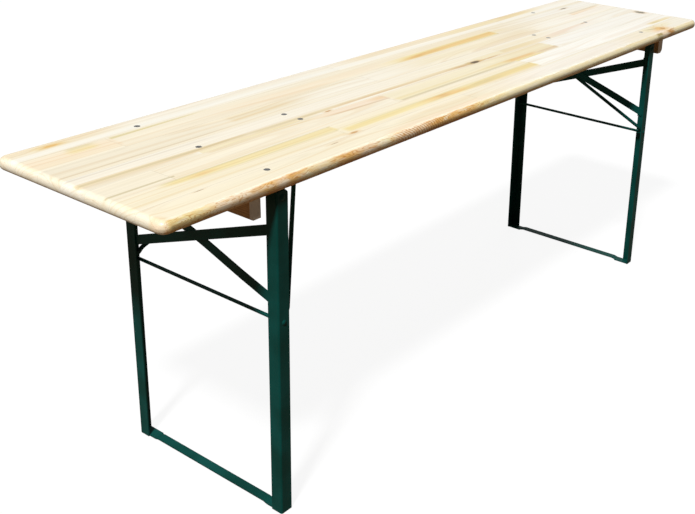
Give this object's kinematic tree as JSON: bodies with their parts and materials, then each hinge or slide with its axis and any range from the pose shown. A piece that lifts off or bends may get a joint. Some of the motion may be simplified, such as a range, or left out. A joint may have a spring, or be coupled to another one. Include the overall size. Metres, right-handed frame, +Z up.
{
  "type": "folding trestle table",
  "caption": "Long narrow folding table: a glued board top on two hinged angle-steel leg frames, each with an X brace, a floor bar and a V strut that latches under the top.",
  "frame": {"origin": "on the floor under the middle of the top", "axes": "+X along the table towards its right end, +Y across it towards the back edge, +Z up"},
  "size_m": [2.2, 0.5, 0.78],
  "materials": {
    "wood": "clear varnish, satin",
    "batten_wood": "planed, thin varnish",
    "paint": "dark green enamel, semi-gloss",
    "bolt_steel": "blued zinc",
    "zinc": "zinc plated",
    "spring": "spring steel, oiled"
  },
  "bodies": {
    "tabletop": {"stave_1": "wood", "stave_2": "wood", "stave_3": "wood", "stave_4": "wood", "stave_5": "wood", "stave_6": "wood", "stave_7": "wood", "batten_left": "batten_wood", "top_bolts_left": "bolt_steel", "top_nuts_left": "zinc", "hinge_strap_left": "paint", "hinge_rivets_left": "paint", "latch_plate_left": "paint", "catch_pin_left": "zinc", "catch_spring_left": "spring", "batten_right": "batten_wood", "top_bolts_right": "bolt_steel", "top_nuts_right": "zinc", "hinge_strap_right": "paint", "hinge_rivets_right": "paint", "latch_plate_right": "paint", "catch_pin_right": "zinc", "catch_spring_right": "spring"},
    "frame_left": {"leg_front_left": "paint", "leg_back_left": "paint", "brace_straight_left": "paint", "brace_stepped_left": "paint", "foot_bar_left": "paint", "pivot_rod_left": "paint"},
    "strut_left": {"strut_left": "paint"},
    "catch_left": {"catch_lever_left": "paint"},
    "frame_right": {"leg_front_right": "paint", "leg_back_right": "paint", "brace_straight_right": "paint", "brace_stepped_right": "paint", "foot_bar_right": "paint", "pivot_rod_right": "paint"},
    "strut_right": {"strut_right": "paint"},
    "catch_right": {"catch_lever_right": "paint"}
  },
  "joints": [
    {"name": "fold_left", "type": "hinge", "parent": "tabletop", "child": "frame_left", "pos_m": [-0.803, 0, 0.734], "axis": [0, -1, 0], "range_deg": [0, 90.7]},
    {"name": "strut_swing_left", "type": "hinge", "parent": "frame_left", "child": "strut_left", "pos_m": [-0.80631, 0, 0.46302], "axis": [0, 1, 0], "range_deg": [0, 135.68]},
    {"name": "catch_press_left", "type": "hinge", "parent": "tabletop", "child": "catch_left", "pos_m": [-0.511, 0, 0.74], "axis": [0, 1, 0], "range_deg": [0, 14], "stiffness_Nm_per_rad": 0.05, "springref_deg": -28.65, "deforming": ["catch_spring_left"]},
    {"name": "fold_right", "type": "hinge", "parent": "tabletop", "child": "frame_right", "pos_m": [0.803, 0, 0.734], "axis": [0, 1, 0], "range_deg": [0, 90.7]},
    {"name": "strut_swing_right", "type": "hinge", "parent": "frame_right", "child": "strut_right", "pos_m": [0.80631, 0, 0.46302], "axis": [0, -1, 0], "range_deg": [0, 135.68]},
    {"name": "catch_press_right", "type": "hinge", "parent": "tabletop", "child": "catch_right", "pos_m": [0.511, 0, 0.74], "axis": [0, -1, 0], "range_deg": [0, 14], "stiffness_Nm_per_rad": 0.05, "springref_deg": -28.65, "deforming": ["catch_spring_right"]}
  ],
  "couplings": [
    {"joint": "strut_swing_left", "follows": "fold_left", "ratio": 1.4958},
    {"joint": "strut_swing_right", "follows": "fold_right", "ratio": 1.4958}
  ]
}
